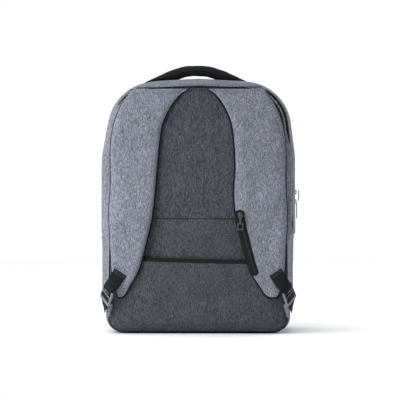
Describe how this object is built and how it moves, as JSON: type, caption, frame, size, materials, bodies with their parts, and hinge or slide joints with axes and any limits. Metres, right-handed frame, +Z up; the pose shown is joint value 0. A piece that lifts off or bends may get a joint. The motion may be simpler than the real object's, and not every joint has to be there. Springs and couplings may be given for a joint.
{
  "type": "solar backpack",
  "caption": "Soft laptop backpack with padded straps, flat back pocket, top handle, zip-down front with a solar panel, and a USB port on its side.",
  "frame": {"origin": "on the floor under the middle of the flat base panel, in the plane where the two halves of the main zip meet", "axes": "+Z up along the bag's height, -Y towards the wearer's back (harness side), +Y towards the solar side, +X to the right of a viewer who looks at the harness side"},
  "size_m": [0.3408, 0.1882, 0.4538],
  "materials": {
    "light_melange": "blue-grey melange polyester",
    "dark_melange": "dark grey melange polyester",
    "black_webbing": "black woven tape and webbing",
    "black_plastic": "satin black",
    "grey_plastic": "satin grey",
    "gunmetal": "dark plated",
    "lining": "dark woven lining",
    "solar_cell": "blue-black silicon",
    "solar_film": "clear textured film",
    "black_rubber": "matt black",
    "steel": "nickel plated"
  },
  "bodies": {
    "bag": {"back_panel": "dark_melange", "rear_gusset": "light_melange", "lower_gusset": "light_melange", "lower_front_panel": "light_melange", "base_panel": "black_webbing", "main_zip_rear": "black_webbing", "front_pocket_shell": "light_melange", "front_pocket_zip": "black_webbing", "side_pocket_left": "light_melange", "side_pocket_right": "light_melange", "side_pocket_hem_left": "black_webbing", "side_pocket_hem_right": "black_webbing", "back_pocket_panel": "dark_melange", "back_pocket_binding": "black_webbing", "laptop_divider": "lining", "power_bank_pocket": "lining", "left_corner_tab": "light_melange", "right_corner_tab": "light_melange", "left_adjuster_webbing": "black_webbing", "right_adjuster_webbing": "black_webbing", "handle_anchor_left": "black_webbing", "handle_anchor_right": "black_webbing"},
    "front_flap": {"front_gusset": "light_melange", "front_panel": "light_melange", "main_zip_front": "black_webbing", "solar_backing": "black_plastic", "solar_border": "black_webbing", "solar_cell_1": "solar_cell", "solar_cell_2": "solar_cell", "solar_cell_3": "solar_cell", "solar_cell_4": "solar_cell", "solar_film": "solar_film", "junction_box": "black_plastic", "junction_box_lid": "black_plastic", "solar_lead": "black_rubber", "usb_housing": "black_plastic", "usb_socket": "steel"},
    "usb_cover": {"usb_cover": "black_rubber"},
    "handle": {"handle_grip": "black_webbing"},
    "left_strap": {"left_strap_pad": "light_melange", "left_strap_tab": "black_webbing"},
    "right_strap": {"right_strap_pad": "light_melange", "right_strap_tab": "black_webbing", "strap_pocket_zip": "black_webbing"},
    "left_ladder_lock": {"left_ladder_lock": "grey_plastic"},
    "right_ladder_lock": {"right_ladder_lock": "grey_plastic"},
    "main_upper_slider": {"main_upper_slider": "gunmetal"},
    "main_upper_puller": {"main_upper_puller": "gunmetal"},
    "main_lower_slider": {"main_lower_slider": "gunmetal"},
    "main_lower_puller": {"main_lower_puller": "gunmetal"},
    "front_pocket_slider": {"front_pocket_slider": "gunmetal"},
    "front_pocket_puller": {"front_pocket_puller": "gunmetal"},
    "strap_pocket_slider": {"strap_pocket_slider": "gunmetal"},
    "strap_pocket_puller": {"strap_pocket_puller": "gunmetal"}
  },
  "joints": [
    {"name": "flap_open", "type": "hinge", "parent": "bag", "child": "front_flap", "pos_m": [0, 0.062, 0.17], "axis": [-1, 0, 0], "range_deg": [0, 55]},
    {"name": "usb_cover_open", "type": "hinge", "parent": "front_flap", "child": "usb_cover", "pos_m": [-0.1667, 0.034, 0.2385], "axis": [0, 1, 0], "range_deg": [0, 120]},
    {"name": "handle_fold", "type": "hinge", "parent": "bag", "child": "handle", "pos_m": [0, -0.03, 0.4275], "axis": [1, 0, 0], "range_deg": [-25, 25], "stiffness_Nm_per_rad": 0.3},
    {"name": "left_strap_swing", "type": "hinge", "parent": "bag", "child": "left_strap", "pos_m": [0, -0.07, 0.414], "axis": [-1, 0, 0], "range_deg": [0, 35], "deforming": ["left_adjuster_webbing"]},
    {"name": "right_strap_swing", "type": "hinge", "parent": "bag", "child": "right_strap", "pos_m": [0, -0.07, 0.414], "axis": [-1, 0, 0], "range_deg": [0, 35], "deforming": ["right_adjuster_webbing"]},
    {"name": "left_ladder_lock_tilt", "type": "hinge", "parent": "left_strap", "child": "left_ladder_lock", "pos_m": [-0.1495, -0.0915, 0.0765], "axis": [-0.481, 0.687, 0.5446], "range_deg": [0, 45]},
    {"name": "right_ladder_lock_tilt", "type": "hinge", "parent": "right_strap", "child": "right_ladder_lock", "pos_m": [0.1495, -0.0915, 0.0765], "axis": [-0.481, -0.687, -0.5446], "range_deg": [0, 45]},
    {"name": "main_upper_slide", "type": "slide", "parent": "bag", "child": "main_upper_slider", "axis": [0, 0, 1], "range_m": [0, 0.06]},
    {"name": "main_upper_puller_swing", "type": "hinge", "parent": "main_upper_slider", "child": "main_upper_puller", "pos_m": [0.1718, 0, 0.241], "axis": [0, -1, 0], "range_deg": [0, 120]},
    {"name": "main_lower_slide", "type": "slide", "parent": "bag", "child": "main_lower_slider", "axis": [0, 0, 1], "range_m": [-0.04, 0]},
    {"name": "main_lower_puller_swing", "type": "hinge", "parent": "main_lower_slider", "child": "main_lower_puller", "pos_m": [0.1684, 0, 0.219], "axis": [0, -1, 0], "range_deg": [0, 120]},
    {"name": "front_pocket_slide", "type": "slide", "parent": "bag", "child": "front_pocket_slider", "axis": [-1, 0, 0], "range_m": [0, 0.228]},
    {"name": "front_pocket_puller_swing", "type": "hinge", "parent": "front_pocket_slider", "child": "front_pocket_puller", "pos_m": [0.114, 0.0849, 0.1345], "axis": [1, 0, 0], "range_deg": [0, 120]},
    {"name": "strap_pocket_slide", "type": "slide", "parent": "right_strap", "child": "strap_pocket_slider", "axis": [0.2275, -0.0417, -0.9729], "range_m": [0, 0.0627]},
    {"name": "strap_pocket_puller_swing", "type": "hinge", "parent": "strap_pocket_slider", "child": "strap_pocket_puller", "pos_m": [0.07112, -0.09198, 0.2012], "axis": [-1, 0, 0], "range_deg": [0, 120]}
  ]
}
